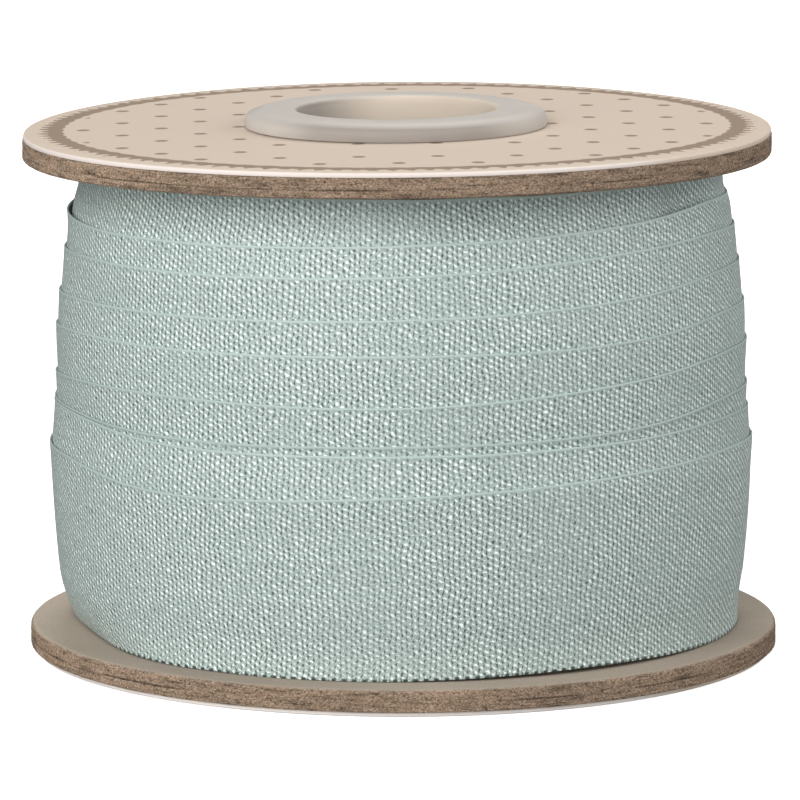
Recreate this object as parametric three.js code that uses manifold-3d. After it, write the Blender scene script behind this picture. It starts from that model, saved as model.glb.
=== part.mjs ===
// A roll of woven ribbon on a spool with two greyboard flanges, standing on its lower flange.
// Millimetres, +Z up. The origin is the centre of the spool's underside, on the hub's axis.

import * as THREE from "three";
import { mergeVertices } from "three/addons/utils/BufferGeometryUtils.js";
import Module from "manifold-3d";

// Flanges: a greyboard disc with a paper label glued to its outer face. The lower label is a little smaller.
const boardRadius = 31;
const lowerBoardThickness = 1.85;
const upperBoardThickness = 1.7;
const boardEdgeRound = 0.3;
const upperLabelRadius = 31;
const lowerLabelRadius = 30.7;
const labelThickness = 0.4;
const glueLine = 0.02;
const boardGap = 39.1; // free space between the two boards
const boardShift = 0.25; // each board sits this far off the hub's axis: the lower to +X, the upper to -X
const discSides = 64;

// Hub: a straight tube with a domed collar on the upper label. Its lower end stops inside the lower label.
const boreRadius = 8.2;
const tubeRadius = 9.5;
const collarRadius = 12.6;
const collarRise = 1.45;
const boreMouth = { flare: 0.8, shoulder: 0.15, drop: 0.3, depth: 0.9 }; // the collar's rounded inner edge
const lowerRecess = 0.1; // the tube ends this far above the underside
const hubSides = 64;

// The collar's dome from its foot to its rim: how far inside its radius, and the share of its rise reached.
const dome = [
  { inset: 0.25, share: 0 },
  { inset: 0, share: 0.2 },
  { inset: 0.1, share: 0.45 },
  { inset: 0.5, share: 0.8 },
  { inset: 1.3, share: 1 },
];

// Ribbon: 15 mm wide, wound in turns that step down the roll, each over the lower part of the turn before.
const ribbonThickness = 0.17;
const windClearance = 0.3; // between the wound ribbon and the boards and hub
const rollShift = 0.15; // the wound ribbon sits this far to +X of the hub's axis
const turnStations = 64; // sections around one turn
const lapEdge = 0.05; // height of the small slope at each lapped edge

// Height of each turn's upper selvedge at five places round the front half of the roll, lowest turn first.
// The back half of a turn runs from its right end up to the left end of the row after it. The last row is
// hidden above the upper board's underside, so the roll's top is full of ribbon.
const selvedges = [
  { left: 17.5, frontLeft: 16.7, front: 17.45, frontRight: 18.3, right: 18.0 },
  { left: 21.0, frontLeft: 20.62, front: 20.7, frontRight: 20.9, right: 20.4 },
  { left: 21.3, frontLeft: 21.15, front: 21.46, frontRight: 21.88, right: 22.4 },
  { left: 23.3, frontLeft: 24.45, front: 24.56, frontRight: 25.73, right: 26.1 },
  { left: 27.3, frontLeft: 28.28, front: 28.68, frontRight: 28.95, right: 29.3 },
  { left: 30.1, frontLeft: 30.97, front: 31.53, frontRight: 32.33, right: 32.7 },
  { left: 33.7, frontLeft: 34.37, front: 34.94, frontRight: 35.93, right: 35.6 },
  { left: 37.4, frontLeft: 36.87, front: 37.5, frontRight: 38.15, right: 38.2 },
  { left: 42.0, frontLeft: 43.0, front: 44.0, frontRight: 45.0, right: 46.0 },
];

// The ribbon's outer end, in turns before the left end of the first row, and how soon the turn is proud.
const outerEnd = { turn: -0.17, height: 17.4, ramp: 0.04 };

// Below the outer end the roll is plain: the rows of the mesh run on down it with no step.
const plainTurns = 3;
const plainTurnDrop = 5.5;

// The wound body's mean radius by height.
const barrel = [
  { height: 0, radius: 28 },
  { height: 2.3, radius: 28.1 },
  { height: 5.1, radius: 28.24 },
  { height: 8.5, radius: 28.7 },
  { height: 13.3, radius: 29.03 },
  { height: 17.3, radius: 29.14 },
  { height: 18.7, radius: 28.99 },
  { height: 21.4, radius: 28.72 },
  { height: 26.8, radius: 28.6 },
  { height: 30.1, radius: 28.29 },
  { height: 33.5, radius: 27.86 },
  { height: 36.3, radius: 27.42 },
  { height: 38, radius: 26.97 },
  { height: 46, radius: 26.9 },
];

// At the left the last turn curls in under itself where it meets the lower board.
const tuck = { depth: 1.65, top: 6, angle: 196, spread: 32 };

const colours = { ribbon: "#a6bab2", board: "#94806e", label: "#d3c2b3", plastic: "#c4bdb5" };

// Stack of heights, from the underside up.
const lowerBoardBase = labelThickness + glueLine;
const lowerBoardTop = lowerBoardBase + lowerBoardThickness;
const upperBoardBase = lowerBoardTop + boardGap;
const upperLabelBase = upperBoardBase + upperBoardThickness + glueLine;
const collarSeat = upperLabelBase + labelThickness + glueLine;
const collarTop = collarSeat + collarRise;
const holeRadius = tubeRadius + windClearance;

const wasm = await Module();
wasm.setup();

function solidOf(geometry) {
  const bare = new THREE.BufferGeometry();
  bare.setAttribute("position", geometry.getAttribute("position"));
  bare.setIndex(geometry.index);
  const merged = mergeVertices(bare, 1e-3);
  return new wasm.Manifold(
    new wasm.Mesh({
      numProp: 3,
      vertProperties: merged.attributes.position.array,
      triVerts: new Uint32Array(merged.index.array),
    }),
  );
}

function geometryOf(solid) {
  const mesh = solid.getMesh();
  const geometry = new THREE.BufferGeometry();
  geometry.setAttribute("position", new THREE.BufferAttribute(mesh.vertProperties, 3));
  geometry.setIndex(new THREE.BufferAttribute(mesh.triVerts, 1));
  geometry.computeVertexNormals();
  return geometry;
}

// A round disc with a hub hole, its underside at the height of its base, its rim rounded by edgeRound.
function discGeometry(radius, thickness, edgeRound, shift, base) {
  const outline = new THREE.Shape();
  outline.absarc(shift, 0, radius, 0, 2 * Math.PI);
  const hole = new THREE.Path();
  hole.absarc(0, 0, holeRadius, 0, 2 * Math.PI, true);
  outline.holes.push(hole);
  const geometry = new THREE.ExtrudeGeometry(outline, {
    depth: thickness - 2 * edgeRound,
    bevelEnabled: edgeRound > 0,
    bevelThickness: edgeRound,
    bevelSize: edgeRound,
    bevelOffset: -edgeRound,
    bevelSegments: 1,
    curveSegments: discSides / 2, // half as many, because a round outline is cut twice as finely
  });
  return geometry.translate(0, 0, base + edgeRound);
}

// The hub's wall, turned round the axis: the tube, then the collar's foot, dome and rim, then the bore.
function hubGeometry() {
  const wall = [
    [boreRadius, lowerRecess],
    [tubeRadius, lowerRecess],
    [tubeRadius, collarSeat],
    ...dome.map(({ inset, share }) => [collarRadius - inset, collarSeat + share * collarRise]),
    [boreRadius + boreMouth.flare, collarTop],
    [boreRadius + boreMouth.shoulder, collarTop - boreMouth.drop],
    [boreRadius, collarTop - boreMouth.depth],
    [boreRadius, lowerRecess],
  ];
  const profile = wall.map(([radius, height]) => new THREE.Vector2(radius, height));
  return new THREE.LatheGeometry(profile, hubSides).rotateX(Math.PI / 2);
}

// The selvedge table as one rising line, by turns counted up from the left end of the first row.
const helixTurns = [outerEnd.turn];
const helixHeights = [outerEnd.height];
selvedges.forEach((row, turn) => {
  [row.left, row.frontLeft, row.front, row.frontRight, row.right].forEach((height, eighth) => {
    helixTurns.push(turn + eighth / 8);
    helixHeights.push(height);
  });
});
const helix = new THREE.CubicInterpolant(helixTurns, helixHeights, 1);

function selvedgeHeight(turn) {
  if (turn < outerEnd.turn) return outerEnd.height + (turn - outerEnd.turn) * plainTurnDrop;
  return helix.evaluate(turn)[0];
}

// How far a turn's upper edge stands out of the mean radius, and the covered edge above it lies inside it.
function step(turn) {
  const { turn: end, ramp } = outerEnd;
  return 0.5 * ribbonThickness * THREE.MathUtils.smoothstep(turn, end, end + ramp);
}

function barrelRadius(height) {
  const next = Math.max(1, barrel.findIndex((row) => row.height >= height));
  const [a, b] = [barrel[next - 1], barrel[next]];
  return THREE.MathUtils.mapLinear(height, a.height, b.height, a.radius, b.radius);
}

// How far the lower left of the roll is drawn in, at a height and an angle in degrees.
function tuckedIn(height, angle) {
  const away = Math.abs(THREE.MathUtils.euclideanModulo(angle - tuck.angle + 180, 360) - 180);
  const share = THREE.MathUtils.smoothstep(tuck.spread - away, 0, tuck.spread);
  const drop = THREE.MathUtils.clamp((tuck.top - height) / (tuck.top - lowerBoardTop), 0, 1);
  return tuck.depth * share * drop ** 2;
}

// The point on the roll's skin at a turn and a height, set off from the mean radius.
function skinPoint(turn, height, offset) {
  const angle = 180 + 360 * turn;
  const inside = THREE.MathUtils.clamp(height, 0, barrel.at(-1).height);
  const radius = barrelRadius(inside) - tuckedIn(height, angle) + offset;
  const theta = THREE.MathUtils.degToRad(angle);
  return [rollShift + radius * Math.cos(theta), radius * Math.sin(theta), height];
}

// One column of the skin: from a turn's upper selvedge down to just above the newer turn that covers it.
function skinColumn(turn) {
  const top = selvedgeHeight(turn);
  const foot = selvedgeHeight(turn - 1);
  return [
    skinPoint(turn, top, step(turn)),
    skinPoint(turn, (top + foot) / 2, (step(turn) - step(turn - 1)) / 2),
    skinPoint(turn, foot + lapEdge, -step(turn - 1)),
  ];
}

// The skin as one helical strip whose turns meet edge to edge, closed by a cone at each end.
function woundSkin() {
  const turns = plainTurns + selvedges.length;
  const count = turns * turnStations + 1;
  const columns = Array.from({ length: count }, (_, i) => skinColumn(i / turnStations - plainTurns));
  const rows = columns[0].length;
  const points = columns.flat();
  const faces = [];
  const at = (column, row) => column * rows + row;
  const quad = (a, b, c, d) => faces.push(a, b, c, a, c, d);
  for (let i = 0; i + 1 < count; i++) {
    for (let row = 0; row + 1 < rows; row++) {
      quad(at(i, row + 1), at(i + 1, row + 1), at(i + 1, row), at(i, row));
    }
    const newer = i - turnStations;
    if (newer >= 0) quad(at(newer, 0), at(newer + 1, 0), at(i + 1, rows - 1), at(i, rows - 1));
  }
  const cone = (loop, height) => {
    const apex = points.push([0, 0, height]) - 1;
    loop.forEach((from, i) => faces.push(loop[(i + 1) % loop.length], from, apex));
  };
  const last = count - 1;
  const lowerLoop = [];
  const upperLoop = [];
  for (let i = 0; i <= turnStations; i++) {
    lowerLoop.push(at(i, rows - 1));
    upperLoop.push(at(last - i, 0));
  }
  for (let row = 0; row + 1 < rows; row++) {
    lowerLoop.push(at(0, row));
    upperLoop.push(at(last, rows - 1 - row));
  }
  cone(lowerLoop, -boardRadius);
  cone(upperLoop, 2 * barrel.at(-1).height);
  const geometry = new THREE.BufferGeometry();
  geometry.setAttribute("position", new THREE.Float32BufferAttribute(points.flat(), 3));
  return geometry.setIndex(faces);
}

// The space the ribbon may fill: a thick ring between the boards, clear of the hub.
function windingSpace() {
  const outer = 2 * boardRadius;
  const low = lowerBoardTop + windClearance;
  const high = upperBoardBase - windClearance;
  const section = [
    [holeRadius, low],
    [outer, low],
    [outer, high],
    [holeRadius, high],
    [holeRadius, low],
  ];
  const profile = section.map(([radius, height]) => new THREE.Vector2(radius, height));
  return new THREE.LatheGeometry(profile, turnStations).rotateX(Math.PI / 2);
}

function ribbonGeometry() {
  return geometryOf(solidOf(woundSkin()).intersect(solidOf(windingSpace())));
}

const matte = (color) => new THREE.MeshStandardMaterial({ color, roughness: 0.9, metalness: 0 });
const satin = (color) => new THREE.MeshStandardMaterial({ color, roughness: 0.4, metalness: 0 });

function addPiece(group, name, geometry, material) {
  const mesh = new THREE.Mesh(geometry, material);
  mesh.name = name;
  group.add(mesh);
}

function addBoard(group, name, thickness, shift, base) {
  const disc = discGeometry(boardRadius, thickness, boardEdgeRound, shift, base);
  addPiece(group, name, disc, matte(colours.board));
}

function addLabel(group, name, radius, shift, base) {
  const disc = discGeometry(radius, labelThickness, 0, shift, base);
  addPiece(group, name, disc, matte(colours.label));
}

const spool = new THREE.Group();
addLabel(spool, "lower_label", lowerLabelRadius, boardShift, 0);
addBoard(spool, "lower_board", lowerBoardThickness, boardShift, lowerBoardBase);
addPiece(spool, "ribbon_roll", ribbonGeometry(), matte(colours.ribbon));
addBoard(spool, "upper_board", upperBoardThickness, -boardShift, upperBoardBase);
addLabel(spool, "upper_label", upperLabelRadius, -boardShift, upperLabelBase);
addPiece(spool, "hub", hubGeometry(), satin(colours.plastic));

export default spool;
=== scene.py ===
# %% [markdown]
# A roll of ribbon on a card spool.
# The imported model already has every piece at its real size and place: two greyboard flanges with a paper
# label on each, a plastic hub, and the wound ribbon as one solid. This lesson dresses it. The plain solids
# are replaced by pieces with the detail that the eye looks for: a real strip of ribbon wound in lapped
# turns, board with a torn, fibrous cut edge, card labels with a white core, and a milky moulded hub.

# %% Load the frame
import math
import bmesh
import bpy
import numpy as np
from mathutils import Matrix, Vector, noise


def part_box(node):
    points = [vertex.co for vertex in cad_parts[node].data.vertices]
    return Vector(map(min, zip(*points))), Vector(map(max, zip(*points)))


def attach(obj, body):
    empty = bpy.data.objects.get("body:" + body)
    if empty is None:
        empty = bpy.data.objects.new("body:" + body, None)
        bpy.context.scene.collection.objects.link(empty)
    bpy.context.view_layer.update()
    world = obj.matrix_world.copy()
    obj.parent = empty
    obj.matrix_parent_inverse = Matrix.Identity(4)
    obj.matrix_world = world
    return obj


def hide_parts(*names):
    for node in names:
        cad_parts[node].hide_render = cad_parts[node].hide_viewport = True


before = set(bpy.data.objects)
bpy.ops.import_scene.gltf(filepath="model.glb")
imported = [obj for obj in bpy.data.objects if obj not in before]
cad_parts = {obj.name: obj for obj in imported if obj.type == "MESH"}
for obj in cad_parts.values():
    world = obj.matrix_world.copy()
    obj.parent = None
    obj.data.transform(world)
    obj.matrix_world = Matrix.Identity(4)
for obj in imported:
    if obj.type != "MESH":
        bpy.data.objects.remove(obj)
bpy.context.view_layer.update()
MM = 0.001
print("nodes:", sorted(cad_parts))

# %% [markdown]
# The camera comes first, because it says how much detail each piece needs. The picture is a product shot
# from over half a metre away with a long lens, so the flanges are almost parallel. It looks down by nine and
# a quarter degrees. The focal length is stated in pixels of the 800 pixel wide picture and turned into a
# lens for a 36 mm sensor. One millimetre of the spool then covers about twelve pixels.

# %% Camera
PICTURE_SIDE = 800
SENSOR_MM = 36.0
FOCAL_PIXELS = 6985
CAMERA_DISTANCE = 581.7 * MM
CAMERA_TARGET = Vector((0.05, 0, 20.52)) * MM
CAMERA_ELEVATION = math.radians(9.27)
CAMERA_ROLL = math.radians(-0.04)

camera_data = bpy.data.cameras.new("camera")
camera_data.sensor_width = SENSOR_MM
camera_data.lens = FOCAL_PIXELS / PICTURE_SIDE * SENSOR_MM
camera = bpy.data.objects.new("camera", camera_data)
bpy.context.scene.collection.objects.link(camera)
backwards = Vector((0, -math.cos(CAMERA_ELEVATION), math.sin(CAMERA_ELEVATION)))
camera.matrix_world = (
    Matrix.Translation(CAMERA_TARGET + backwards * CAMERA_DISTANCE)
    @ Matrix.Rotation(math.pi / 2 - CAMERA_ELEVATION, 4, "X")
    @ Matrix.Rotation(CAMERA_ROLL, 4, "Z")
)
bpy.context.scene.camera = camera
print("lens:", round(camera_data.lens, 1), "mm")

# %% [markdown]
# The light is a soft studio set: a pale room, a large soft box in front on the left that models the roll
# from left to right, a weaker one at the right, and a small one high behind it for the label and the back.
# A plain white floor runs out of the picture on all sides. The Standard view transform keeps whites white,
# as in a cut-out product shot.

# %% Colour and node helpers
def linear(hex_colour):
    """An sRGB hex colour as the linear colour that light is mixed in."""
    channels = [int(hex_colour[i:i + 2], 16) / 255 for i in (1, 3, 5)]
    return [c / 12.92 if c <= 0.04045 else ((c + 0.055) / 1.055) ** 2.4 for c in channels] + [1.0]


def node(tree, kind, inputs=(), **settings):
    """Adds a node, sets its options, and fills its sockets with values or with other nodes' outputs."""
    made = tree.nodes.new("ShaderNode" + kind)
    for name, value in settings.items():
        setattr(made, name, value)
    for socket, value in dict(inputs).items():
        if isinstance(value, bpy.types.Node):
            value = value.outputs[0]
        if isinstance(value, bpy.types.NodeSocket):
            tree.links.new(value, made.inputs[socket])
        else:
            made.inputs[socket].default_value = value
    return made


def new_material(name, **sockets):
    """A material with one Principled surface whose plain sockets are set, its tree and that surface."""
    material = bpy.data.materials.new(name)
    material.use_nodes = True
    tree = material.node_tree
    surface = tree.nodes["Principled BSDF"]
    for socket, value in sockets.items():
        surface.inputs[socket.replace("_", " ")].default_value = value
    return material, tree, surface


# %% Floor
FLOOR_SIDE = 6.0
ROOM_LIGHT = 0.06

floor_material, floor_tree, floor_surface = new_material(
    "white_sweep", Base_Color=linear("#e6e6e6"), Roughness=0.9
)
# The floor glows white for the lens only, so it stays white and throws little light up at the roll.
lens = node(floor_tree, "LightPath").outputs["Is Camera Ray"]
glow = node(floor_tree, "Emission", {"Color": linear("#ffffff"), "Strength": 0.75})
matt = node(floor_tree, "BsdfDiffuse", {"Color": linear("#8c8c8c")})
bright = node(floor_tree, "AddShader", {0: glow, 1: floor_surface})
floor_mix = node(floor_tree, "MixShader", {0: lens, 1: matt, 2: bright})
floor_tree.links.new(floor_mix.outputs[0], floor_tree.nodes["Material Output"].inputs["Surface"])
bpy.ops.mesh.primitive_plane_add(size=FLOOR_SIDE)
floor = bpy.context.object
floor.name = "floor"
floor.data.materials.append(floor_material)

world = bpy.data.worlds.new("pale_room")
world.use_nodes = True
world.node_tree.nodes["Background"].inputs["Color"].default_value = linear("#ffffff")
world.node_tree.nodes["Background"].inputs["Strength"].default_value = ROOM_LIGHT
bpy.context.scene.world = world

# %% Soft boxes
SOFT_BOXES = [
    # name, degrees round the roll from the lens, degrees up, distance in m, side in m, power in watts
    ("key_box", -29, 22, 1.1, 1.1, 19.2),
    ("fill_box", 86, 18, 1.1, 1.0, 9.4),
    ("top_box", 176, 48, 1.1, 0.5, 4.9),
]


def soft_box(name, around, up, distance, side, power):
    """A square area light at so many degrees round the roll from the lens and up from the floor."""
    data = bpy.data.lights.new(name, "AREA")
    data.size = side
    data.energy = power
    light = bpy.data.objects.new(name, data)
    bpy.context.scene.collection.objects.link(light)
    turn, climb = math.radians(around), math.radians(up)
    away = Vector((math.sin(turn) * math.cos(climb), -math.cos(turn) * math.cos(climb), math.sin(climb)))
    light.location = CAMERA_TARGET + away * distance
    light.rotation_euler = away.to_track_quat("Z", "Y").to_euler()


for row in SOFT_BOXES:
    soft_box(*row)
bpy.context.scene.view_settings.view_transform = "Standard"
print("floor and", len(bpy.data.lights), "soft boxes")

# %% [markdown]
# The sizes below are read from the frame where it has them. Both flanges are a little off the hub's axis,
# and the top one isn't quite level: its right side is a hair higher and its two ends droop. That is what
# makes a cheap card spool look real, so the top pieces get the same lean. Shapes that are round are made
# from an outline that is spun about the axis.

# %% Sizes and the lean of the top flange
def radius_of(node_name):
    """Half the width of a round node and the place of its centre along X, in mm."""
    low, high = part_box(node_name)
    return (high.x - low.x) / 2 / MM, (high.x + low.x) / 2 / MM


HUB_HOLE = 9.8
TUBE_RADIUS = 9.5
BORE_RADIUS = 8.2
FLANGE_TILT = math.radians(0.455)
FLANGE_CROWN = 0.11
FLANGE_DROOP = 0.29
HUB_LEAN = -0.28
FLANGE_SLIP = 0.07

board_radius, lower_centre = radius_of("lower_board")
lower_centre += FLANGE_SLIP
upper_centre = radius_of("upper_board")[1] + FLANGE_SLIP
print("boards", round(board_radius, 2), "labels", round(radius_of("upper_label")[0], 2), "mm")


def outline_mesh(corners, rounded=()):
    """A closed outline of (radius, height) corners in mm. rounded holds rows of corner, size, segments."""
    bm = bmesh.new()
    points = [bm.verts.new((r, 0, z)) for r, z in corners]
    for a, b in zip(points, points[1:] + points[:1]):
        bm.edges.new((a, b))
    for corner, size, rows in rounded:
        bmesh.ops.bevel(
            bm, geom=[points[corner]], offset=size, segments=rows, profile=0.5,
            affect="VERTICES", material=-1,
        )
    return bm


def close_spin(bm, steps):
    """Spins what the mesh holds all the way round Z and joins its ends."""
    bmesh.ops.spin(
        bm, geom=bm.verts[:] + bm.edges[:], axis=(0, 0, 1), cent=(0, 0, 0),
        angle=2 * math.pi, steps=steps, use_merge=True,
    )
    bmesh.ops.recalc_face_normals(bm, faces=bm.faces)


def cut_long_edges(bm, longest, longest_upright):
    """Divides the outline's edges, the level and the upright ones, to no more than so many mm each."""
    for edge in bm.edges[:]:
        length = edge.calc_length()
        upright = abs(edge.verts[0].co.z - edge.verts[1].co.z) > length / 2
        cuts = math.ceil(length / (longest_upright if upright else longest)) - 1
        if cuts > 0:
            bmesh.ops.subdivide_edges(bm, edges=[edge], cuts=cuts)


def lean_top(place, centre):
    """How far a point of the top flange is raised, in mm."""
    across = (place.x - centre) / board_radius
    return FLANGE_CROWN + across * board_radius * math.tan(FLANGE_TILT) - FLANGE_DROOP * across ** 2


def finish_piece(name, bm, material, slot, *nodes):
    """Turns a bmesh in mm into a smooth shaded piece in metres that rides on the root body."""
    bmesh.ops.scale(bm, vec=(MM, MM, MM), verts=bm.verts)
    mesh = bpy.data.meshes.new(name)
    bm.to_mesh(mesh)
    bm.free()
    mesh.shade_smooth()
    mesh.materials.append(material)
    piece = bpy.data.objects.new(name, mesh)
    bpy.context.scene.collection.objects.link(piece)
    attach(piece, "root")
    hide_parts(*nodes)
    print(name, "has", len(mesh.polygons), "faces")
    return piece


# %% [markdown]
# Greyboard is pulped waste paper pressed in layers. A die punches the discs: the side that it enters is
# pressed round, the other side stays sharp, and the cut wall is rough, with pits, loose fibres and a line
# where two layers begin to part. A bump alone would leave the edge straight against the light, so the wall
# has enough rows to be pushed in and out by noise, and the finish adds the speckle.

# %% Greyboard finish
PART_LINE = 0.42


def greyboard_material():
    """Fleck, streaks, pits and a parted layer on the cut wall, with painted shade in the parting, a smooth,
    paler face, and painted light towards the left end.
    """
    material, tree, surface = new_material("pulp_greyboard", Roughness=0.92, IOR=1.45)
    surface.inputs["Specular IOR Level"].default_value = 0.25
    place = node(tree, "TexCoord").outputs["Object"]
    wall = node(tree, "Attribute", attribute_name="cut_wall").outputs["Fac"]
    # Pulp is flecked at about a quarter of a millimetre, and its layers draw that out along the wall.
    stretched = node(tree, "Mapping", {"Vector": place, "Scale": (1, 1, 1.5)})
    fleck = node(tree, "TexNoise", {"Vector": stretched, "Scale": 5200, "Detail": 4, "Roughness": 0.8})
    streak_space = node(tree, "Mapping", {"Vector": place, "Scale": (1, 1, 10)})
    streak = node(tree, "TexNoise", {"Vector": streak_space, "Scale": 300, "Detail": 6, "Roughness": 0.75})
    cloud = node(tree, "TexNoise", {"Vector": place, "Scale": 120, "Detail": 3})
    fleck_tone = node(tree, "ValToRGB", {"Fac": fleck.outputs["Fac"]})
    ramp = fleck_tone.color_ramp
    ramp.elements[0].position, ramp.elements[0].color = 0.31, linear("#463a30")
    ramp.elements[1].position, ramp.elements[1].color = 0.72, linear("#d1bca6")
    for position, colour in ((0.43, "#7b6856"), (0.55, "#99836f")):
        ramp.elements.new(position).color = linear(colour)
    streak_share = node(tree, "MapRange", {0: streak.outputs["Fac"], 1: 0.36, 2: 0.52, 3: 0.46, 4: 1.1})
    pits = node(tree, "TexNoise", {"Vector": stretched, "Scale": 3300, "Detail": 1})
    pit_share = node(tree, "MapRange", {0: pits.outputs["Fac"], 1: 0.32, 2: 0.39, 3: 0.45, 4: 1.0})
    marks_and_parting_shade = node(tree, "Math", {0: streak_share, 1: pit_share}, operation="MULTIPLY")
    # Where two layers begin to part, the gap is painted as a thin broken dark line: painted shade in the
    # opening, over a real groove in the wall.
    layer = node(tree, "Attribute", attribute_name="board_layer").outputs["Fac"]
    parted = node(tree, "Attribute", attribute_name="parted").outputs["Fac"]
    wander = node(tree, "MapRange", {0: streak.outputs["Fac"], 1: 0.3, 2: 0.7, 3: -0.02, 4: 0.02})
    moved_layer = node(tree, "Math", {0: layer, 1: wander}, operation="ADD")
    off_line = node(tree, "Math", {0: moved_layer, 1: PART_LINE}, operation="SUBTRACT")
    distance = node(tree, "Math", {0: off_line}, operation="ABSOLUTE")
    line = node(tree, "MapRange", {0: distance, 1: 0.02, 2: 0.045, 3: 1.0, 4: 0.0})
    gap = node(tree, "Math", {0: line, 1: parted}, operation="MULTIPLY")
    parting_shade = node(tree, "MapRange", {0: gap, 1: 0.0, 2: 0.22, 3: 1.0, 4: 0.45})
    marks_and_parting_shade = node(tree, "Math", {0: marks_and_parting_shade, 1: parting_shade}, operation="MULTIPLY")
    wall_tone = node(
        tree, "Mix", {0: 1.0, 6: fleck_tone.outputs[0], 7: marks_and_parting_shade}, data_type="RGBA", blend_type="MULTIPLY"
    )
    face_share = node(tree, "MapRange", {0: fleck.outputs["Fac"], 1: 0.3, 2: 0.7, 3: 0.0, 4: 1.0})
    face_tone = node(
        tree, "Mix", {0: face_share, 6: linear("#9c9083"), 7: linear("#aca091")}, data_type="RGBA"
    )
    tone = node(tree, "Mix", {0: wall, 6: face_tone.outputs[2], 7: wall_tone.outputs[2]}, data_type="RGBA")
    cloud_share = node(tree, "MapRange", {0: cloud.outputs["Fac"], 1: 0.3, 2: 0.7, 3: 0.93, 4: 1.06})
    # Painted light: the board's colour is made paler towards its left end, brighter there than the lamps
    # alone make it.
    sideways = node(tree, "SeparateXYZ", {0: place}).outputs["X"]
    pale = node(tree, "MapRange", {0: sideways, 1: -18 * MM, 2: -28 * MM, 3: 1.0, 4: 1.28})
    shade = node(tree, "Math", {0: cloud_share, 1: pale}, operation="MULTIPLY")
    final = node(
        tree, "Mix", {0: 1.0, 6: tone.outputs[2], 7: shade}, data_type="RGBA", blend_type="MULTIPLY"
    )
    height = node(tree, "Math", {0: fleck.outputs["Fac"], 1: streak.outputs["Fac"]}, operation="ADD")
    rough = node(tree, "MapRange", {0: wall, 1: 0, 2: 1, 3: 0.12, 4: 0.7})
    bump = node(tree, "Bump", {"Height": height, "Strength": rough, "Distance": 0.12 * MM})
    tree.links.new(final.outputs[2], surface.inputs["Base Color"])
    tree.links.new(bump.outputs[0], surface.inputs["Normal"])
    return material


greyboard = greyboard_material()

# %% Boards
WALL_STEPS = 720
WALL_ROW = 0.2
FACE_ROW = 5.0
SHARP_EDGE = 0.08
EDGE_SEGMENTS = 5
# The wall's roughness begins this far inside the rim and is at its full depth after the second distance.
WALL_MARGIN, WALL_BLEND = 0.3, 0.22
# Depths in mm and scales in waves per mm of the fibres, the slower waves and the parted layer.
FIBRE_DEPTH, FIBRE_SCALE = 0.045, 1.9
WAVE_DEPTH, WAVE_SCALE = 0.03, 0.35
PART_DEPTH, PART_SCALE, PART_HALF = 0.1, 0.16, 0.07
# This place in the noise was picked so that the upper board parts at the front left, as in the picture.
PART_PLACE = Vector((2, 2, 2))


def board_piece(name, node_name, centre, pressed_side, pressed_edge, oversize, leaning):
    """One flange: an outline with a pressed and a sharp corner, spun, then roughened on its wall.

    oversize is how far the rim stands outside the frame's radius, in mm, as the picture shows it."""
    rim_radius = board_radius + oversize
    low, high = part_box(node_name)
    base, top = low.z / MM, high.z / MM
    corners = [(HUB_HOLE, base), (rim_radius, base), (rim_radius, top), (HUB_HOLE, top)]
    sizes = {-1: (pressed_edge, SHARP_EDGE), 1: (SHARP_EDGE, pressed_edge)}[pressed_side]
    bm = outline_mesh(corners, [(1, sizes[0], EDGE_SEGMENTS), (2, sizes[1], EDGE_SEGMENTS)])
    cut_long_edges(bm, FACE_ROW, WALL_ROW)
    close_spin(bm, WALL_STEPS)
    wall = bm.verts.layers.float.new("cut_wall")
    board_layer = bm.verts.layers.float.new("board_layer")
    parted = bm.verts.layers.float.new("parted")
    for vert in bm.verts:
        radius = math.hypot(vert.co.x, vert.co.y)
        share = max(0.0, min(1.0, (radius - rim_radius + WALL_MARGIN) / WALL_BLEND))
        vert[wall] = share
        rough = noise.fractal(vert.co * FIBRE_SCALE, 1.0, 2.0, 3) * FIBRE_DEPTH
        rough += noise.noise(vert.co * WAVE_SCALE) * WAVE_DEPTH
        layer = (vert.co.z - base) / (top - base)
        vert[board_layer] = layer
        vert[parted] = max(0.0, noise.noise(vert.co * PART_SCALE + PART_PLACE))
        split = math.exp(-((layer - PART_LINE) / PART_HALF) ** 2) * vert[parted]
        outward = Vector((vert.co.x, vert.co.y, 0)) / radius
        vert.co += outward * share * (rough - split * PART_DEPTH)
        vert.co.x += centre * (radius - HUB_HOLE) / (rim_radius - HUB_HOLE)
        vert.co.z += lean_top(vert.co, centre) if leaning else 0
    finish_piece(name, bm, greyboard, "greyboard", node_name)


board_piece(
    "upper_greyboard", "upper_board", upper_centre,
    pressed_side=-1, pressed_edge=0.26, oversize=-0.03, leaning=True,
)
board_piece(
    "lower_greyboard", "lower_board", lower_centre,
    pressed_side=1, pressed_edge=0.45, oversize=0.12, leaning=False,
)

# %% [markdown]
# The labels are thick uncoated card, printed in one taupe ink on a beige ground: rows of dots, and near the
# edge a band whose outer side is fringed. The punch has rolled the rim down a little and left its white core
# bare. The print is worked out from the place on the disc, so it needs no picture: two sets of dots make
# the offset rows, and the band comes from the distance to the centre.

# %% Card finish
DOT_PITCH = (6.447, 8.349)
DOT_PLACE = (3.07, -3.98)
DOT_RADIUS = 0.56
PRINT_TURN = math.radians(-1.15)
PRINT_TAPER = -0.0011
PRINT_SHEAR = -0.0075
BAND_INNER, BAND_OUTER = 27.6, 28.9
BARE_HALF = (9.6, 1.6)
BARE_DISTANCE = 16.5
FRINGE = 0.95
FRINGE_TEETH = 122
SCALLOPS = 84


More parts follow.
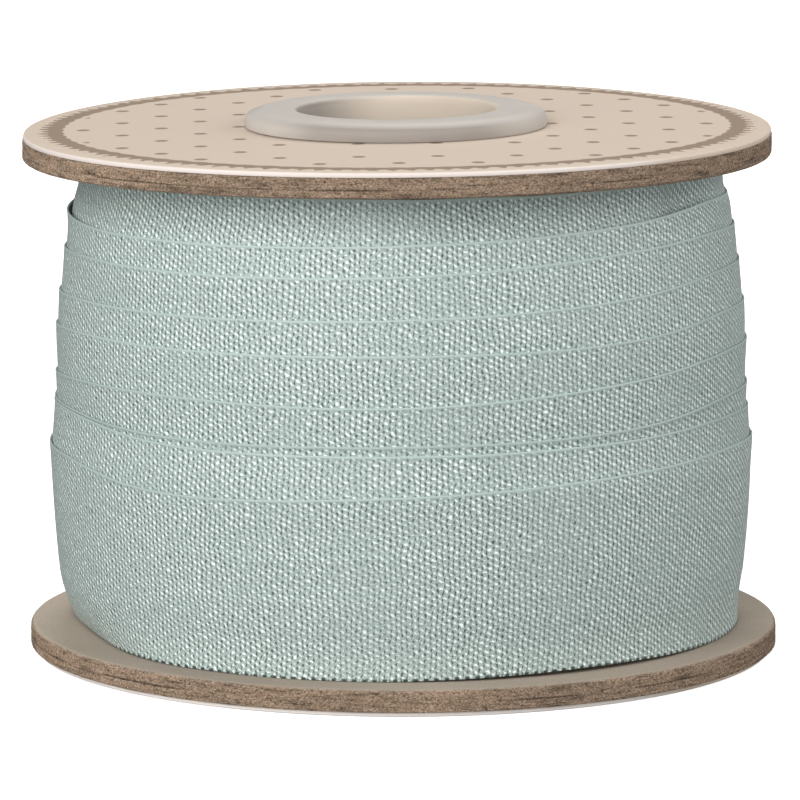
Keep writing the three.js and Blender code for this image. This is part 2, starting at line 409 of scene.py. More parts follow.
def card_material(name, centre, core_tone):
    """Beige card with dots and a fringed band in one ink, and a bare core on its cut wall."""
    material, tree, surface = new_material(name, Roughness=0.78, IOR=1.45)
    surface.inputs["Specular IOR Level"].default_value = 0.3
    place = node(tree, "TexCoord").outputs["Object"]
    core = node(tree, "Attribute", attribute_name="bare_core").outputs["Fac"]
    disc = node(tree, "Mapping", {"Vector": place, "Location": (-centre, 0, 0), "Scale": (1 / MM,) * 3})
    disc.inputs["Rotation"].default_value = (0, 0, PRINT_TURN)
    split = node(tree, "SeparateXYZ", {0: disc})
    y = split.outputs["Y"]
    # In the picture the rows of dots converge less than this camera makes them, so the print is drawn a hair
    # wider towards the back and sheared by as little, which puts each dot in its place.
    taper = node(tree, "Math", {0: y, 1: PRINT_TAPER, 2: 1.0}, operation="MULTIPLY_ADD")
    tapered = node(tree, "Math", {0: split.outputs["X"], 1: taper}, operation="MULTIPLY")
    x = node(tree, "Math", {0: y, 1: PRINT_SHEAR, 2: tapered}, operation="MULTIPLY_ADD")
    wobble = node(tree, "TexNoise", {"Vector": disc, "Scale": 1.3, "Detail": 3, "Roughness": 0.6})

    def dots(place_x, place_y):
        """1 inside the dots of a lattice that has a dot at that place."""
        sides = []
        for axis, pitch, at in ((x, DOT_PITCH[0], place_x), (y, DOT_PITCH[1], place_y)):
            moved = node(tree, "Math", {0: axis, 1: at}, operation="SUBTRACT")
            near = node(tree, "Math", {0: moved, 1: pitch / 2, 2: -pitch / 2}, operation="WRAP")
            sides.append(near)
        flat = node(tree, "CombineXYZ", {0: sides[0], 1: sides[1]})
        away = node(tree, "VectorMath", {0: flat}, operation="LENGTH").outputs["Value"]
        outer, inner = DOT_RADIUS + 0.08, DOT_RADIUS - 0.08
        return node(tree, "MapRange", {0: away, 1: outer, 2: inner, 3: 0.0, 4: 1.0})

    offset_dots = dots(DOT_PLACE[0] + DOT_PITCH[0] / 2, DOT_PLACE[1] + DOT_PITCH[1] / 2)
    both = node(tree, "Math", {0: dots(*DOT_PLACE), 1: offset_dots}, operation="MAXIMUM")
    flat_place = node(tree, "CombineXYZ", {0: x, 1: y})
    away = node(tree, "VectorMath", {0: flat_place}, operation="LENGTH").outputs["Value"]
    inside_band = node(tree, "MapRange", {0: away, 1: BAND_INNER - 0.4, 2: BAND_INNER - 0.7, 3: 0.0, 4: 1.0})
    dots_inside = node(tree, "Math", {0: both, 1: inside_band}, operation="MULTIPLY")
    # In front of the hub a strip of the card is bare.
    bare_x = node(tree, "Math", {0: x, 1: 0.0, 2: BARE_HALF[0]}, operation="COMPARE")
    bare_y = node(tree, "Math", {0: y, 1: -BARE_DISTANCE, 2: BARE_HALF[1]}, operation="COMPARE")
    bare = node(tree, "Math", {0: bare_x, 1: bare_y}, operation="MULTIPLY")
    kept = node(tree, "Math", {0: dots_inside, 1: bare}, operation="SUBTRACT", use_clamp=True)
    angle = node(tree, "Math", {0: y, 1: x}, operation="ARCTAN2")
    jitter = node(tree, "Math", {0: wobble.outputs["Fac"], 1: 3.0}, operation="MULTIPLY")
    turns = node(tree, "Math", {0: angle, 1: FRINGE_TEETH, 2: jitter}, operation="MULTIPLY_ADD")
    teeth = node(tree, "Math", {0: turns}, operation="SINE")
    ragged = node(tree, "TexNoise", {"Vector": disc, "Scale": 2.2, "Detail": 2, "Roughness": 0.6})
    shortest = 0.35 * FRINGE
    reach = node(tree, "MapRange", {0: ragged.outputs["Fac"], 1: 0.35, 2: 0.62, 3: shortest, 4: FRINGE})
    tooth_share = node(tree, "MapRange", {0: teeth, 1: -0.75, 2: 0.85, 3: 0.0, 4: 1.0})
    tooth = node(tree, "Math", {0: tooth_share, 1: reach}, operation="MULTIPLY")
    edge_noise = node(tree, "MapRange", {0: wobble.outputs["Fac"], 1: 0.3, 2: 0.7, 3: -0.12, 4: 0.12})
    outer = node(tree, "Math", {0: tooth, 1: BAND_OUTER}, operation="ADD")
    outer_edge = node(tree, "Math", {0: outer, 1: edge_noise}, operation="ADD")
    below = node(tree, "Math", {0: outer_edge, 1: away}, operation="SUBTRACT")
    scallop_phase = node(tree, "Math", {0: angle, 1: SCALLOPS}, operation="MULTIPLY")
    scallop = node(tree, "Math", {0: scallop_phase}, operation="SINE")
    inner_edge = node(tree, "Math", {0: scallop, 1: 0.08, 2: BAND_INNER}, operation="MULTIPLY_ADD")
    above = node(tree, "Math", {0: away, 1: inner_edge}, operation="SUBTRACT")
    band = node(tree, "Math", {0: below, 1: above}, operation="MINIMUM")
    band_share = node(tree, "MapRange", {0: band, 1: -0.05, 2: 0.1, 3: 0.0, 4: 1.0})
    print_share = node(tree, "Math", {0: kept, 1: band_share}, operation="MAXIMUM")
    # Offset ink on uncoated card is never solid: the grain shows through it.
    grain = node(tree, "TexNoise", {"Vector": disc, "Scale": 5.0, "Detail": 4, "Roughness": 0.7})
    grain_share = node(tree, "MapRange", {0: grain.outputs["Fac"], 1: 0.3, 2: 0.75, 3: 0.97, 4: 1.03})
    ink = node(tree, "MapRange", {0: grain.outputs["Fac"], 1: 0.35, 2: 0.65, 3: 0.86, 4: 1.0})
    ink_share = node(tree, "Math", {0: print_share, 1: ink}, operation="MULTIPLY")
    ground = node(tree, "Mix", {0: ink_share, 6: linear("#d6c5b4"), 7: linear("#937e6b")}, data_type="RGBA")
    # At the right no white shows in the picture, as where a punch rolls the print over the edge.
    rolled = node(tree, "MapRange", {0: x, 1: 19.0, 2: 23.0, 3: 1.0, 4: 0.0})
    white = node(tree, "Math", {0: core, 1: rolled}, operation="MULTIPLY")
    bare_card = node(tree, "Mix", {0: white, 6: ground.outputs[2], 7: linear(core_tone)}, data_type="RGBA")
    tone = node(
        tree, "Mix", {0: 1.0, 6: bare_card.outputs[2], 7: grain_share},
        data_type="RGBA", blend_type="MULTIPLY",
    )
    bump = node(tree, "Bump", {"Height": grain.outputs["Fac"], "Strength": 0.2, "Distance": 0.03 * MM})
    tree.links.new(tone.outputs[2], surface.inputs["Base Color"])
    tree.links.new(bump.outputs[0], surface.inputs["Normal"])
    return material


# %% Labels
LABEL_STEPS = 360
LABEL_ROW = 3.0
ROLLED_EDGE, CUT_EDGE = 0.16, 0.03
# The white core begins this far inside the edge and is bare after the second distance.
CORE_MARGIN, CORE_BLEND = 0.13, 0.1
CUT_WAVE, CUT_SCALE = 0.02, 0.5


def label_piece(name, node_name, centre, printed_side, oversize, leaning, core_tone):
    """A card disc whose printed side has a rolled edge, with its white core bare on the wall."""
    radius_mm = radius_of(node_name)[0] + oversize
    low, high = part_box(node_name)
    base, top = low.z / MM, high.z / MM
    corners = [(HUB_HOLE, base), (radius_mm, base), (radius_mm, top), (HUB_HOLE, top)]
    rolled = 2 if printed_side > 0 else 1
    bm = outline_mesh(corners, [(rolled, ROLLED_EDGE, 5), (3 - rolled, CUT_EDGE, 1)])
    cut_long_edges(bm, LABEL_ROW, LABEL_ROW)
    close_spin(bm, LABEL_STEPS)
    core = bm.verts.layers.float.new("bare_core")
    for vert in bm.verts:
        radius = math.hypot(vert.co.x, vert.co.y)
        vert[core] = max(0.0, min(1.0, (radius - radius_mm + CORE_MARGIN) / CORE_BLEND))
        outward = Vector((vert.co.x, vert.co.y, 0)) / radius
        if radius > radius_mm - 1:
            vert.co += outward * noise.noise(vert.co * CUT_SCALE) * CUT_WAVE
        vert.co.x += centre * (radius - HUB_HOLE) / (radius_mm - HUB_HOLE)
        vert.co.z += lean_top(vert.co, centre) if leaning else 0
    material = card_material("uncoated_card_" + name, centre, core_tone)
    finish_piece(name, bm, material, "label_card", node_name)


label_piece(
    "upper_print", "upper_label", upper_centre,
    printed_side=1, oversize=-0.08, leaning=True, core_tone="#e4d9d2",
)
# The lower label's core is given a paler tone than the upper's: painted light on its cut wall, which the
# lamps light less.
label_piece(
    "lower_print", "lower_label", lower_centre,
    printed_side=-1, oversize=0.0, leaning=False, core_tone="#f7efe9",
)

# %% [markdown]
# The hub is one moulding in natural polypropylene: a tube with a collar that was domed over the label. The
# plastic is milky. Light sinks in and comes out nearby, which rounds off every edge, so the finish uses
# subsurface scattering under a satin skin. Scattering alone leaves it too even, so painted shade and light
# colour it by place: greyer down the collar's front, paler at the left of the bore, darker deep in the bore.
# The collar is an outline with soft corners, spun about the axis.

# %% Hub
HUB_STEPS = 192
COLLAR_RADIUS = 12.5
COLLAR_RIM = (8.32, 11.45)
COLLAR_SHOULDER = 0.98
HUB_ROW = 2.0
# The collar clears the label by the first distance. Its foot and the mouth of the bore are chamfered.
COLLAR_GAP, FOOT_CHAMFER, MOUTH_CHAMFER = 0.02, (0.2, 0.07), 0.4
LEAN_START = 0.9
HUB_ROUNDING = [
    # corner of the outline, size, segments
    (3, 0.05, 2), (4, 0.06, 3), (5, 0.4, 6), (6, 0.6, 8), (7, 0.2, 5), (8, 0.25, 5), (0, 0.2, 2), (1, 0.2, 2),
]


def polypropylene_material(top):
    """Milky plastic. top is the height of the collar, in mm."""
    material, tree, surface = new_material(
        "milky_polypropylene", Roughness=0.62, IOR=1.49, Subsurface_Weight=0.5, Subsurface_Scale=1.0 * MM,
    )
    surface.inputs["Subsurface Radius"].default_value = (1.0, 0.9, 0.8)
    surface.inputs["Specular IOR Level"].default_value = 0.14
    place = node(tree, "TexCoord").outputs["Object"]
    haze = node(tree, "TexNoise", {"Vector": place, "Scale": 260, "Detail": 3})
    parts = node(tree, "SeparateXYZ", {0: node(tree, "Mapping", {"Vector": place, "Scale": (1 / MM,) * 3})})
    flat_place = node(tree, "CombineXYZ", {0: parts.outputs["X"], 1: parts.outputs["Y"]})
    out = node(tree, "VectorMath", {0: flat_place}, operation="LENGTH").outputs["Value"]
    # Painted shade: the collar's wall below the rim is coloured greyer than the rim, most of all where it
    # faces the front or the back.
    soft = {"interpolation_type": "SMOOTHSTEP"}
    wall = node(tree, "MapRange", {0: parts.outputs["Z"], 1: top + 0.02, 2: top - 0.28, 3: 0.0, 4: 1.0})
    sideways = node(tree, "Math", {0: parts.outputs["X"]}, operation="ABSOLUTE")
    facing = node(tree, "MapRange", {0: sideways, 1: 11.0, 2: 6.0, 3: 0.15, 4: 1.0}, **soft)
    painted_skirt_shade = node(tree, "Math", {0: wall, 1: facing}, operation="MULTIPLY")
    bore_edge, bore_wall = BORE_RADIUS + 0.3, BORE_RADIUS + 0.02
    bore = node(tree, "MapRange", {0: out, 1: bore_edge, 2: bore_wall, 3: 0.0, 4: 1.0}, **soft)
    rim = node(
        tree, "Mix", {0: haze.outputs["Fac"], 6: linear("#bab3ab"), 7: linear("#c5beb6")}, data_type="RGBA"
    )
    collar = node(tree, "Mix", {0: painted_skirt_shade, 6: rim.outputs[2], 7: linear("#9a938c")}, data_type="RGBA")
    # Painted light: the bore's left side is coloured paler than its shade would be, standing in for light
    # that comes in through the milky tube.
    glow = node(tree, "MapRange", {0: parts.outputs["X"], 1: -8.0, 2: 4.0, 3: 1.0, 4: 0.0})
    inside = node(tree, "Mix", {0: glow, 6: linear("#c9bcad"), 7: linear("#e6dacb")}, data_type="RGBA")
    # Painted shade: two millimetres down, where the tube stands inside the roll, the bore's colour is
    # darkened.
    painted_bore_shade = node(tree, "MapRange", {0: parts.outputs["Z"], 1: top - 2.01, 2: top - 2.51, 3: 1.0, 4: 0.6})
    bore_tone = node(
        tree, "Mix", {0: 1.0, 6: inside.outputs[2], 7: painted_bore_shade}, data_type="RGBA", blend_type="MULTIPLY"
    )
    tone = node(tree, "Mix", {0: bore, 6: collar.outputs[2], 7: bore_tone.outputs[2]}, data_type="RGBA")
    satin = node(tree, "MapRange", {0: haze.outputs["Fac"], 1: 0.3, 2: 0.7, 3: 0.56, 4: 0.68})
    bump = node(tree, "Bump", {"Height": haze.outputs["Fac"], "Strength": 0.1, "Distance": 0.05 * MM})
    tree.links.new(tone.outputs[2], surface.inputs["Base Color"])
    tree.links.new(satin.outputs[0], surface.inputs["Roughness"])
    tree.links.new(bump.outputs[0], surface.inputs["Normal"])
    return material


hub_low, hub_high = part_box("hub")
hub_foot, hub_top = hub_low.z / MM, hub_high.z / MM
collar_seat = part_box("upper_label")[1].z / MM + COLLAR_GAP
hub_outline = [
    (BORE_RADIUS, hub_foot),
    (TUBE_RADIUS, hub_foot),
    (TUBE_RADIUS, collar_seat),
    (COLLAR_RADIUS - FOOT_CHAMFER[0], collar_seat),
    (COLLAR_RADIUS, collar_seat + FOOT_CHAMFER[1]),
    (COLLAR_RADIUS, collar_seat + COLLAR_SHOULDER),
    (COLLAR_RIM[1], hub_top),
    (COLLAR_RIM[0], hub_top),
    (BORE_RADIUS, hub_top - MOUTH_CHAMFER),
]
bm = outline_mesh(hub_outline, HUB_ROUNDING)
cut_long_edges(bm, HUB_ROW, HUB_ROW)
close_spin(bm, HUB_STEPS)
for vert in bm.verts:
    up = vert.co.z / hub_top
    leaning_share = max(0.0, up - LEAN_START) / (1 - LEAN_START)
    vert.co.z += leaning_share * lean_top(vert.co, 0)
    vert.co.x += HUB_LEAN * up
finish_piece("hub_body", bm, polypropylene_material(hub_top), "milky_plastic", "hub")

# %% [markdown]
# The ribbon is a strip 15 mm wide. On the roll it is wound in turns that step down by a few millimetres, each
# over the lower part of the turn before, like shingles. The strip could be drawn as rings with painted
# edges, but then the edges would be flat where the eye looks for the small steps. So one flat grid is made,
# its flat place is kept as the UV map that the weave follows, and every point is then moved to its place on
# the roll. The table gives the height of each turn's upper selvedge at seven places round the front.

# %% The winding
RIBBON_WIDTH = 15.0
RIBBON_PITCH = 0.17
RIBBON_THICKNESS = 0.15
ROLL_CENTRE = 0.15
OUTER_END = -0.17
INNER_END = 9.0
OUTER_END_HEIGHT = 17.4
END_SLOPE = 5.5
END_BLEND = 0.04
LAPS_SHOWN = 8
UNDER_BOARD = 41.2
# The lower left of the roll is drawn in: the middle of the place, its half width in degrees, and in mm the
# heights between which it deepens and its depth.
TUCK_MIDDLE, TUCK_HALF = 196, 32
TUCK_LOW, TUCK_HIGH, TUCK_DEPTH = 2.3, 6.0, 1.65

SELVEDGE_PLACES = (180, 200, 225, 270, 315, 338, 360)
SELVEDGES = [
    (17.5, 17.64, 16.7, 17.45, 18.3, 18.5, 18.0),
    (21.0, 21.3, 20.62, 20.7, 20.9, 21.05, 20.4),
    (21.2, 21.37, 21.15, 21.46, 21.88, 22.7, 22.4),
    (23.3, 24.08, 24.45, 24.56, 25.73, 26.4, 26.1),
    (27.3, 28.02, 28.28, 28.68, 28.95, 29.65, 29.3),
    (30.1, 30.66, 30.97, 31.53, 32.33, 33.0, 32.7),
    (33.7, 34.18, 34.37, 34.94, 35.93, 36.15, 35.6),
    (37.0, 36.65, 36.77, 37.35, 38.1, 38.6, 38.2),
    (40.8, 40.83, 40.85, 40.9, 40.95, 40.98, 41.0),
    (41.1, 41.11, 41.12, 41.14, 41.16, 41.18, 41.2),
]
BARREL = [
    # height, radius
    (0, 28.0), (2.3, 28.1), (5.1, 28.24), (6.5, 28.5), (8.5, 28.7), (10.6, 28.87), (13.3, 29.03),
    (16.0, 29.12), (17.3, 29.14), (18.7, 28.99), (20.0, 28.82), (21.4, 28.72), (23.4, 28.64),
    (26.8, 28.6), (28.1, 28.51), (30.1, 28.29), (32.1, 28.02), (33.5, 27.86), (35.0, 27.63),
    (36.3, 27.42), (37.4, 27.2), (38.0, 26.97), (46.0, 26.9),
]
LOWER_EDGE = [
    # degrees round the roll, height of the last turn's lower selvedge
    (118, 2.5), (180, 2.42), (225, 2.34), (268, 2.33), (280, 2.44), (296, 2.6), (308, 2.6), (323, 2.46),
    (334, 2.34), (360, 2.34), (480, 5.0),
]


def smooth_line(xs, ys):
    """A smooth line through points, as a function of arrays."""
    xs, ys = np.array(xs, float), np.array(ys, float)
    slopes = np.gradient(ys, xs)

    def at(x):
        i = np.clip(np.searchsorted(xs, x) - 1, 0, len(xs) - 2)
        span = xs[i + 1] - xs[i]
        s = np.clip((x - xs[i]) / span, 0, 1)
        a, b = ys[i], ys[i + 1]
        return (
            a * (1 + 2 * s) * (1 - s) ** 2 + b * s * s * (3 - 2 * s)
            + span * (slopes[i] * s * (1 - s) ** 2 - slopes[i + 1] * s * s * (1 - s))
        )

    return at


selvedge_turns = [OUTER_END]
selvedge_turns += [row + place / 360 - 0.5 for row in range(len(SELVEDGES)) for place in SELVEDGE_PLACES]
selvedge_heights = [OUTER_END_HEIGHT] + [height for row in SELVEDGES for height in row]
selvedge_line = smooth_line(selvedge_turns, selvedge_heights)
barrel_line = smooth_line(*zip(*BARREL))
lower_line = smooth_line(*zip(*LOWER_EDGE))


def selvedge(turn):
    """Height of the upper selvedge at a turn. Before the outer end the roll is plain."""
    before = OUTER_END_HEIGHT + END_SLOPE * (turn - OUTER_END)
    return np.where(turn < OUTER_END, before, selvedge_line(turn))


def smoothstep(low, high, x):
    """0 below low, 1 above high, and smooth between them."""
    s = np.clip((x - low) / (high - low), 0, 1)
    return s * s * (3 - 2 * s)


def tuck(height, degrees):
    """How far the lower left of the roll is drawn in."""
    away = np.abs((degrees - TUCK_MIDDLE + 180) % 360 - 180)
    drop = np.clip((TUCK_HIGH - height) / (TUCK_HIGH - TUCK_LOW), 0, 1)
    return TUCK_DEPTH * (1 - smoothstep(0, TUCK_HALF, away)) * drop ** 2


def shingle(turn, height):
    """How far a turn lies off the mean barrel at each height: newer turns cover it and push it in."""
    covered = smoothstep(OUTER_END, OUTER_END + END_BLEND, turn)
    lines = [(selvedge(turn), 0.5 * RIBBON_PITCH * covered)]
    depth = np.zeros_like(turn)
    for k in range(1, LAPS_SHOWN):
        newer = smoothstep(OUTER_END, OUTER_END + END_BLEND, turn - k)
        lines.append((selvedge(turn - k), -0.5 * RIBBON_PITCH * newer - depth))
        depth = depth + RIBBON_PITCH * newer
    result = np.empty_like(height)
    for i in range(len(turn)):
        edges = np.array([line[0][i] for line in lines])[::-1]
        steps_out = np.array([line[1][i] for line in lines])[::-1]
        rising = np.maximum.accumulate(edges + 1e-6 * np.arange(len(edges)))
        result[i] = np.interp(height[i], rising, steps_out)
    return result


# %% [markdown]
# The turns aren't perfect. At the upper left the top lap stands open like a pocket, under the flange the
# cloth buckles in a few soft hollows, and at the right the lap gapes over a deeper one. Each is a row of a
# table: where it is, how wide it is, and how far it pushes the cloth out or in.

# %% Lifts and hollows
LAP_LIFTS = [
    # turn, degrees round, half width in degrees, reach below the edge, lift
    (7.0, 187, 10, 2.4, 0.3),
    (7.0, 312, 12, 1.4, 0.2),
    (0.0, 187, 8, 1.4, 0.06),
    (0.0, 356, 8, 1.4, 0.06),
]
HOLLOWS = [
    # turn from, degrees round, height, half width in degrees, half height, depth
    (7.6, 197, 39.2, 7, 1.8, 0.35),
    (7.6, 228, 40.6, 6, 1.4, 0.2),
    (7.6, 257, 40.2, 6, 1.5, 0.35),
    (7.6, 284, 40.0, 8, 1.6, 0.45),
    (7.6, 307, 40.4, 6, 1.6, 0.25),
    (7.6, 329, 39.0, 8, 1.5, 0.95),
]


def unevenness(turn, degrees, height, below):
    """All lifts and hollows at each point, outwards positive, in mm. below is the distance from the edge."""
    moved = np.zeros_like(height)
    for row, where, wide, reach, lift in LAP_LIFTS:
        near = np.exp(-(((degrees - where) / wide) ** 2)) * (np.floor(turn + 0.02) == row)
        moved += (near * lift)[:, None] * np.clip(1 - below / reach, 0, 1) ** 1.5
    for first, where, level, wide, tall, depth in HOLLOWS:
        near = np.exp(-(((degrees - where) / wide) ** 2)) * (turn > first)
        moved -= (near * depth)[:, None] * np.exp(-(((height - level) / tall) ** 2))
    return moved


# %% Ribbon finish
COLUMN_PITCH = 0.455
PIP_PITCH = 0.518
PIP_HALF = (0.15, 0.135)
GAP_HALF = (0.075, 0.17)
PIP_SLOPE = 0.5
SELVEDGE_CORD = 0.28
LOOP_PITCH = 0.84


def oval_lattice(tree, x, y, shift, half):
    """Distance from the centre of slanted ovals, one per crossing, and a random value for each oval."""
    column = node(tree, "Math", {0: x, 1: 1 / COLUMN_PITCH, 2: -shift[0]}, operation="MULTIPLY_ADD")
    number = node(tree, "Math", {0: column}, operation="FLOOR")
    side = node(tree, "Math", {0: column, 1: number}, operation="SUBTRACT")
    side = node(tree, "Math", {0: side, 1: 0.5}, operation="SUBTRACT")
    pair = node(tree, "Math", {0: number, 1: 2.0}, operation="FLOORED_MODULO")
    row = node(tree, "Math", {0: y, 1: 1 / PIP_PITCH, 2: -shift[1]}, operation="MULTIPLY_ADD")
    row = node(tree, "Math", {0: pair, 1: 0.5, 2: row}, operation="MULTIPLY_ADD")
    slant = PIP_SLOPE * COLUMN_PITCH / PIP_PITCH
    row = node(tree, "Math", {0: side, 1: -slant, 2: row}, operation="MULTIPLY_ADD")
    level = node(tree, "Math", {0: row}, operation="FLOOR")
    rise = node(tree, "Math", {0: row, 1: level}, operation="SUBTRACT")
    rise = node(tree, "Math", {0: rise, 1: 0.5}, operation="SUBTRACT")
    place = node(tree, "CombineXYZ", {0: side, 1: rise})
    scale = (COLUMN_PITCH / half[0], PIP_PITCH / half[1], 0)
    scaled = node(tree, "VectorMath", {0: place, 1: scale}, operation="MULTIPLY")
    away = node(tree, "VectorMath", {0: scaled}, operation="LENGTH").outputs["Value"]
    cell = node(tree, "CombineXYZ", {0: number, 1: level})
    return away, node(tree, "TexWhiteNoise", {"Vector": cell}, noise_dimensions="2D").outputs["Value"]


def ribbon_material():
    """Woven ribbon on its own flat place: pips with painted highlights, gaps with painted shade, both also
    bumped, a corded edge and a looped one.
    """
    material, tree, surface = new_material(
        "filament_ribbon_weave", Roughness=0.5, IOR=1.5, Sheen_Weight=0.04, Sheen_Roughness=0.45
    )
    surface.inputs["Specular IOR Level"].default_value = 0.42
    place = node(tree, "UVMap", uv_map="cloth").outputs["UV"]
    flat_noise = {"noise_dimensions": "2D"}
    soft = {"interpolation_type": "SMOOTHSTEP"}
    # The threads wander a little, slowly along the cloth and quickly from crossing to crossing.
    moved = place
    for scale, push in ((0.35, (0.55, 0.3, 0)), (2.0, (0.3, 0.3, 0))):
        drift = node(tree, "TexNoise", {"Vector": place, "Scale": scale, "Detail": 2}, **flat_noise)
        grey = (0.5, 0.5, 0.5)
        loose = node(tree, "VectorMath", {0: drift.outputs["Color"], 1: grey}, operation="SUBTRACT")
        moved = node(tree, "VectorMath", {0: loose, 1: push, 2: moved}, operation="MULTIPLY_ADD").outputs[0]
    split = node(tree, "SeparateXYZ", {0: moved})
    x, y = split.outputs["X"], split.outputs["Y"]
    pip_away, pip_chance = oval_lattice(tree, x, y, (0, 0), PIP_HALF)
    gap_away, gap_chance = oval_lattice(tree, x, y, (0.5, -0.25), GAP_HALF)
    size = node(tree, "MapRange", {0: pip_chance, 1: 0.0, 2: 1.0, 3: 0.9, 4: 1.14})
    pip_edge = node(tree, "Math", {0: pip_away, 1: size}, operation="MULTIPLY")
    pip = node(tree, "MapRange", {0: pip_edge, 1: 1.12, 2: 0.45, 3: 0.0, 4: 1.0}, **soft)
    gap = node(tree, "MapRange", {0: gap_away, 1: 1.2, 2: 0.4, 3: 0.0, 4: 1.0}, **soft)
    shine = node(tree, "MapRange", {0: pip_chance, 1: 0.0, 2: 1.0, 3: 0.6, 4: 0.38})
    depth = node(tree, "MapRange", {0: gap_chance, 1: 0.0, 2: 1.0, 3: -0.58, 4: -0.36})
    # The painted highlights and shade of the weave vary in strength in slow patches, weaker where the cloth
    # was drawn tight on the roll and the threads lie flatter.
    region = node(tree, "TexNoise", {"Vector": place, "Scale": 0.13, "Detail": 2}, **flat_noise)
    painted_weave_contrast = node(tree, "MapRange", {0: region.outputs["Fac"], 1: 0.35, 2: 0.65, 3: 0.76, 4: 1.12})
    # Painted highlight and shade: each pip's colour is raised as its sheen would light it and each gap's is
    # darkened as shade, over the bump that the same ovals make.
    lit = node(tree, "Math", {0: pip, 1: shine}, operation="MULTIPLY")
    level = node(tree, "Math", {0: gap, 1: depth, 2: lit}, operation="MULTIPLY_ADD")
    level = node(tree, "Math", {0: level, 1: painted_weave_contrast, 2: 0.45}, operation="MULTIPLY_ADD")
    hair = node(tree, "TexNoise", {"Vector": place, "Scale": 8.0, "Detail": 2}, **flat_noise)
    hairs = node(tree, "MapRange", {0: hair.outputs["Fac"], 1: 0.3, 2: 0.7, 3: -0.14, 4: 0.14})
    value = node(tree, "Math", {0: level, 1: hairs}, operation="ADD", use_clamp=True)
    # The ramp runs from the painted shade of the gaps to the painted highlight of the pips.
    tone = node(tree, "ValToRGB", {"Fac": value})
    ramp = tone.color_ramp
    ramp.elements[0].position, ramp.elements[0].color = 0.0, linear("#4b5c54")
    ramp.elements[1].position, ramp.elements[1].color = 1.0, linear("#f4fbf8")
    ramp.elements.new(0.5).color = linear("#a8b7b3")
    # The upper selvedge is a smooth lumpy cord, where the weft turns back round the last threads.
    plain = node(tree, "SeparateXYZ", {0: place})
    lumps = node(tree, "Math", {0: hair.outputs["Fac"], 1: 0.44, 2: -0.22}, operation="MULTIPLY_ADD")
    from_edge = node(tree, "Math", {0: plain.outputs["Y"], 1: lumps}, operation="ADD")
    cord = node(tree, "MapRange", {0: from_edge, 1: SELVEDGE_CORD, 2: SELVEDGE_CORD - 0.08, 3: 0.0, 4: 1.0})
    corded = node(tree, "Mix", {0: cord, 6: tone.outputs[0], 7: linear("#adbdb7")}, data_type="RGBA")
    # Along the lower one the weft makes small loops, and the gaps between them are painted dark: painted
    # shade between the loops.
    from_lower = node(tree, "Math", {0: RIBBON_WIDTH, 1: plain.outputs["Y"]}, operation="SUBTRACT")
    phase = node(tree, "Math", {0: plain.outputs["X"], 1: 2 * math.pi / LOOP_PITCH}, operation="MULTIPLY")
    between = node(tree, "Math", {0: phase}, operation="SINE")
    notch = node(tree, "MapRange", {0: between, 1: -0.2, 2: 0.5, 3: 0.0, 4: 1.0})
    low_edge = node(tree, "MapRange", {0: from_lower, 1: 0.28, 2: 0.16, 3: 0.0, 4: 1.0})
    loops = node(tree, "Math", {0: notch, 1: low_edge}, operation="MULTIPLY")
    edged = node(tree, "Mix", {0: loops, 6: corded.outputs[2], 7: linear("#3f4b45")}, data_type="RGBA")
    # A warp thread keeps its own shade for a long way.
    thread_space = node(tree, "Mapping", {"Vector": place, "Scale": (0.02, 3.6, 1)})
    thread = node(tree, "TexNoise", {"Vector": thread_space, "Scale": 1.0, "Detail": 2}, **flat_noise)
    thread_share = node(tree, "MapRange", {0: thread.outputs["Fac"], 1: 0.3, 2: 0.7, 3: 0.95, 4: 1.05})
    final = node(
        tree, "Mix", {0: 1.0, 6: edged.outputs[2], 7: thread_share}, data_type="RGBA", blend_type="MULTIPLY"
    )
    woven = node(tree, "Math", {0: pip, 1: gap}, operation="SUBTRACT")
    height = node(tree, "Mix", {0: cord, 2: woven, 3: 0.75})
    bump = node(tree, "Bump", {"Height": height, "Strength": 0.9, "Distance": 0.05 * MM})
    tree.links.new(final.outputs[2], surface.inputs["Base Color"])
    tree.links.new(bump.outputs[0], surface.inputs["Normal"])
    return material


ribbon_weave = ribbon_material()

# %% The strip
TURN_STATIONS = 152
EDGE_ROWS = [0, 0.05, 0.12, 0.2, 0.3, 0.5, 1.0]
BODY_ROW = 1.1
MEAN_RADIUS = 28.6
CORD_BULGE, CORD_MIDDLE, CORD_HALF = 0.03, 0.12, 0.09
# How far the upper and the lower selvedge stray, and how quickly along the ribbon.
UPPER_STRAY, LOWER_STRAY, STRAYS_PER_TURN = 0.035, 0.03, 40


def rows_across():
    """Distances from the upper selvedge of the grid's rows, close together at both selvedges."""
    count = round((RIBBON_WIDTH - 2 * EDGE_ROWS[-1]) / BODY_ROW)
    body = np.linspace(EDGE_ROWS[-1], RIBBON_WIDTH - EDGE_ROWS[-1], count + 1)
    return np.concatenate([EDGE_ROWS[:-1], body, RIBBON_WIDTH - np.array(EDGE_ROWS[-2::-1])])


across_rows = rows_across()
stations = round((INNER_END - OUTER_END) * TURN_STATIONS)
strip_length = (INNER_END - OUTER_END) * 2 * math.pi * MEAN_RADIUS
bm = bmesh.new()
bmesh.ops.create_grid(bm, x_segments=stations, y_segments=len(across_rows) - 1, size=0.5)
bm.verts.ensure_lookup_table()
flat = np.array([vert.co[:2] for vert in bm.verts]) + 0.5
row_of = np.rint((1 - flat[:, 1]) * (len(across_rows) - 1)).astype(int)
station_of = np.rint(flat[:, 0] * stations).astype(int)
print("grid of", len(bm.verts), "points for", round(strip_length), "mm of ribbon")

